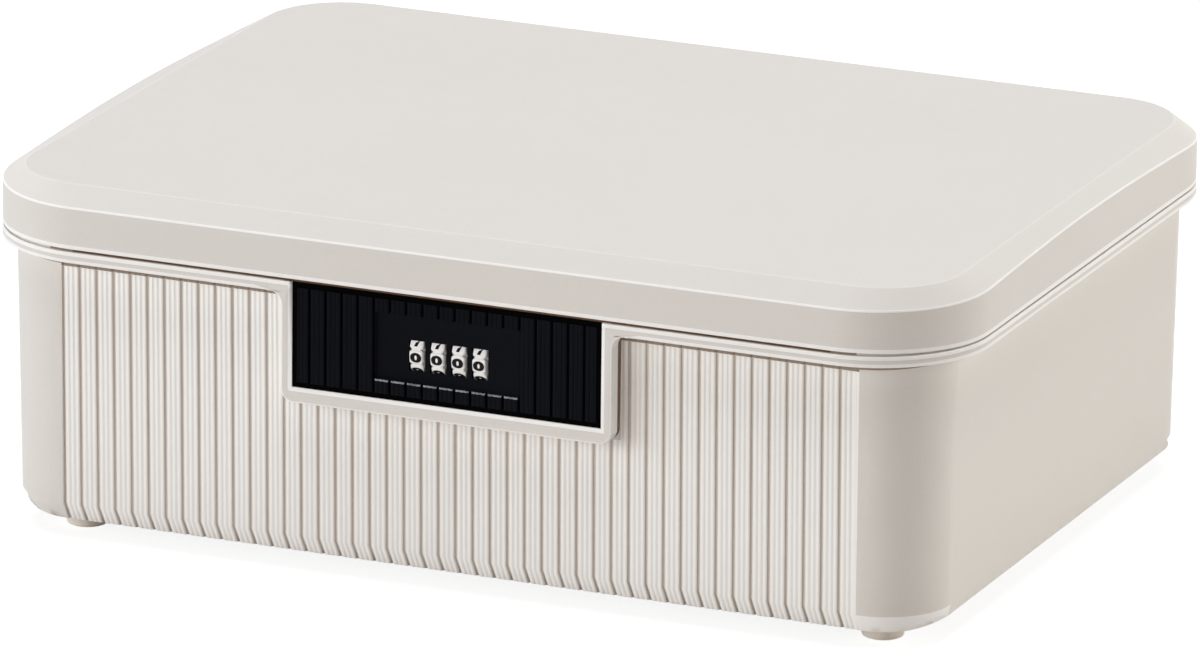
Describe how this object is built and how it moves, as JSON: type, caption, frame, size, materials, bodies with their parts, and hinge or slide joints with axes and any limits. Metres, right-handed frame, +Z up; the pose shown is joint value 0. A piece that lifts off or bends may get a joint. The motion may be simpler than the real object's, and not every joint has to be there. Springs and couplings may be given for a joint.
{
  "type": "lockable storage box",
  "caption": "Off-white lockable storage box: ribbed tray on soft feet, hinged lid with a bevelled top, and a black recessed code lock with number wheels in the front.",
  "frame": {"origin": "under the middle of the box, on the surface that it stands on", "axes": "+X to the right seen from the front, -Y out of the front, +Z up"},
  "size_m": [0.36, 0.2754, 0.1277],
  "materials": {
    "shell": "satin",
    "lock_black": "fine satin",
    "wheel_white": "semi-gloss",
    "steel": "zinc plated",
    "foot_rubber": "matt"
  },
  "bodies": {
    "box": {"box_body": "shell", "foot_front_left": "foot_rubber", "foot_front_right": "foot_rubber", "foot_rear_left": "foot_rubber", "foot_rear_right": "foot_rubber", "hinge_pin_left": "steel", "hinge_pin_right": "steel", "lock_face": "lock_black", "lock_case": "lock_black", "case_cover": "lock_black", "cover_screws": "steel", "lock_screws": "steel", "detent_spring": "steel"},
    "lid": {"lid_shell": "shell", "catch_comb": "steel", "catch_screws": "steel"},
    "carriage": {"wheel_axle": "steel", "axle_clip": "steel", "reset_slider": "lock_black"},
    "wheel_1": {"number_wheel_1": "wheel_white"},
    "wheel_2": {"number_wheel_2": "wheel_white"},
    "wheel_3": {"number_wheel_3": "wheel_white"},
    "wheel_4": {"number_wheel_4": "wheel_white"},
    "disc_1": {"gate_disc_1": "steel"},
    "disc_2": {"gate_disc_2": "steel"},
    "disc_3": {"gate_disc_3": "steel"},
    "disc_4": {"gate_disc_4": "steel"}
  },
  "joints": [
    {"name": "lid_hinge", "type": "hinge", "parent": "box", "child": "lid", "pos_m": [0, 0.1329, 0.1062], "axis": [-1, 0, 0], "range_deg": [0, 110]},
    {"name": "reset_slide", "type": "slide", "parent": "box", "child": "carriage", "axis": [-1, 0, 0], "range_m": [0, 0.0013]},
    {"name": "wheel_turn_1", "type": "hinge", "parent": "box", "child": "wheel_1", "pos_m": [0, -0.1272, 0.0853], "axis": [-1, 0, 0], "continuous": true},
    {"name": "wheel_turn_2", "type": "hinge", "parent": "box", "child": "wheel_2", "pos_m": [0, -0.1272, 0.0853], "axis": [-1, 0, 0], "continuous": true},
    {"name": "wheel_turn_3", "type": "hinge", "parent": "box", "child": "wheel_3", "pos_m": [0, -0.1272, 0.0853], "axis": [-1, 0, 0], "continuous": true},
    {"name": "wheel_turn_4", "type": "hinge", "parent": "box", "child": "wheel_4", "pos_m": [0, -0.1272, 0.0853], "axis": [-1, 0, 0], "continuous": true},
    {"name": "disc_turn_1", "type": "hinge", "parent": "carriage", "child": "disc_1", "pos_m": [0, -0.1272, 0.0853], "axis": [-1, 0, 0], "continuous": true},
    {"name": "disc_turn_2", "type": "hinge", "parent": "carriage", "child": "disc_2", "pos_m": [0, -0.1272, 0.0853], "axis": [-1, 0, 0], "continuous": true},
    {"name": "disc_turn_3", "type": "hinge", "parent": "carriage", "child": "disc_3", "pos_m": [0, -0.1272, 0.0853], "axis": [-1, 0, 0], "continuous": true},
    {"name": "disc_turn_4", "type": "hinge", "parent": "carriage", "child": "disc_4", "pos_m": [0, -0.1272, 0.0853], "axis": [-1, 0, 0], "continuous": true}
  ],
  "couplings": [
    {"joint": "disc_turn_1", "follows": "wheel_turn_1", "ratio": 1},
    {"joint": "disc_turn_2", "follows": "wheel_turn_2", "ratio": 1},
    {"joint": "disc_turn_3", "follows": "wheel_turn_3", "ratio": 1},
    {"joint": "disc_turn_4", "follows": "wheel_turn_4", "ratio": 1}
  ]
}
